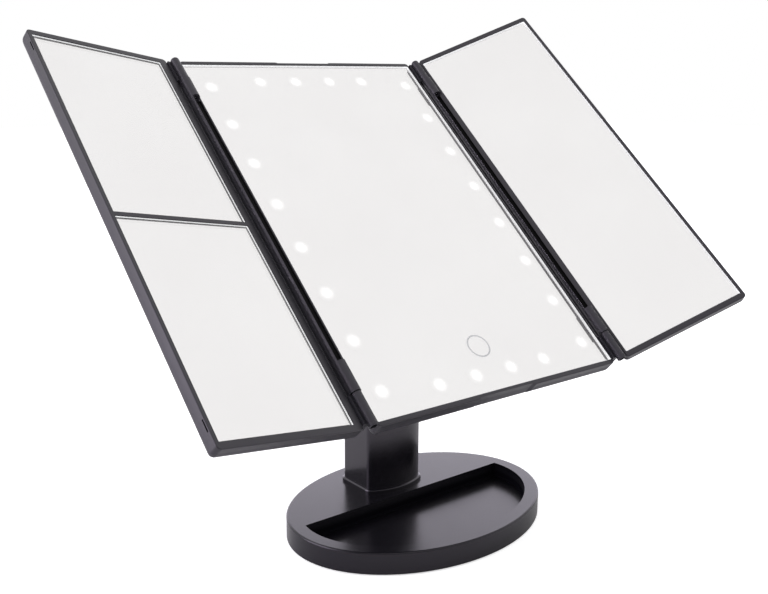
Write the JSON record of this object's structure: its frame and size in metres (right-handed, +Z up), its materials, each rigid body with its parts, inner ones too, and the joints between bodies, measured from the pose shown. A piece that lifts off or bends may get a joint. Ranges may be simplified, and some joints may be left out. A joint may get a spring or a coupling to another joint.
{
  "type": "trifold vanity mirror",
  "caption": "Tabletop trifold vanity mirror with a lit centre panel, folding side mirrors, a tilting head on a short neck and an oval base with a tray.",
  "frame": {"origin": "middle of the base pad's underside, on the surface the mirror stands on", "axes": "+Z up, the mirror faces -Y, +X to the right of someone looking along +Y"},
  "size_m": [0.3427, 0.22, 0.2927],
  "materials": {
    "base_plastic": "satin black moulding",
    "neck_plastic": "semi-gloss black moulding",
    "frame_plastic": "satin black moulding",
    "case_plastic": "satin black moulding",
    "tilt_plastic": "satin black moulding",
    "door_plastic": "satin black moulding",
    "knob_plastic": "fine matt black",
    "sole_plastic": "matt black moulding",
    "pad_rubber": "matt anti-slip sheet",
    "mirror": "silvered glass",
    "frosted": "frosted and lit from behind",
    "ring_etch": "etched ring",
    "board": "white solder mask",
    "lamp": "phosphor-filled lamp",
    "steel": "zinc-plated",
    "washer": "acetal",
    "cell": "plain sleeve",
    "contact": "nickel-plated"
  },
  "bodies": {
    "stand": {"base_shell": "base_plastic", "base_sole_plate": "sole_plastic", "base_pad": "pad_rubber", "base_screws": "steel", "neck_screws": "steel", "neck_front_shell": "neck_plastic", "neck_rear_shell": "neck_plastic", "neck_seam_screws": "steel", "tilt_shaft": "steel", "tilt_nut": "steel", "tilt_caps": "tilt_plastic", "tilt_washers": "washer"},
    "head": {"tilt_bracket": "tilt_plastic", "bracket_screws": "steel", "centre_frame": "frame_plastic", "centre_case": "case_plastic", "centre_mirror": "mirror", "light_windows": "frosted", "touch_ring": "ring_etch", "touch_sensor_board": "board", "light_board_left": "board", "light_board_right": "board", "light_board_top": "board", "light_board_bottom": "board", "lamps": "lamp", "main_board": "board", "power_socket": "steel", "switch_body": "knob_plastic", "battery_cells": "cell", "battery_contacts": "contact", "left_hinge_pins": "steel"},
    "left_wing": {"left_wing_frame": "frame_plastic", "left_wing_case": "case_plastic", "left_upper_mirror": "mirror", "left_lower_mirror": "mirror"},
    "right_wing": {"right_wing_frame": "frame_plastic", "right_wing_case": "case_plastic", "right_mirror": "mirror", "right_hinge_pins": "steel"},
    "battery_door": {"battery_door": "door_plastic"},
    "switch_knob": {"switch_knob": "knob_plastic"}
  },
  "joints": [
    {"name": "head_tilt", "type": "hinge", "parent": "stand", "child": "head", "pos_m": [0, 0.0312, 0.138], "axis": [-1, 0, 0], "range_deg": [-53.8, 41.2]},
    {"name": "left_wing_fold", "type": "hinge", "parent": "head", "child": "left_wing", "pos_m": [-0.0881, 0.01976, 0.18082], "axis": [0, 0.7524, 0.6587], "range_deg": [-13.2, 166.8]},
    {"name": "right_wing_fold", "type": "hinge", "parent": "head", "child": "right_wing", "pos_m": [0.0881, 0.01976, 0.18082], "axis": [0, -0.7524, -0.6587], "range_deg": [-29.4, 150.6]},
    {"name": "battery_door_lift", "type": "slide", "parent": "head", "child": "battery_door", "axis": [0, 0.6587, -0.7524], "range_m": [0, 0.04]},
    {"name": "power_switch_slide", "type": "slide", "parent": "head", "child": "switch_knob", "axis": [0, 0.7524, 0.6587], "range_m": [0, 0.003]}
  ]
}
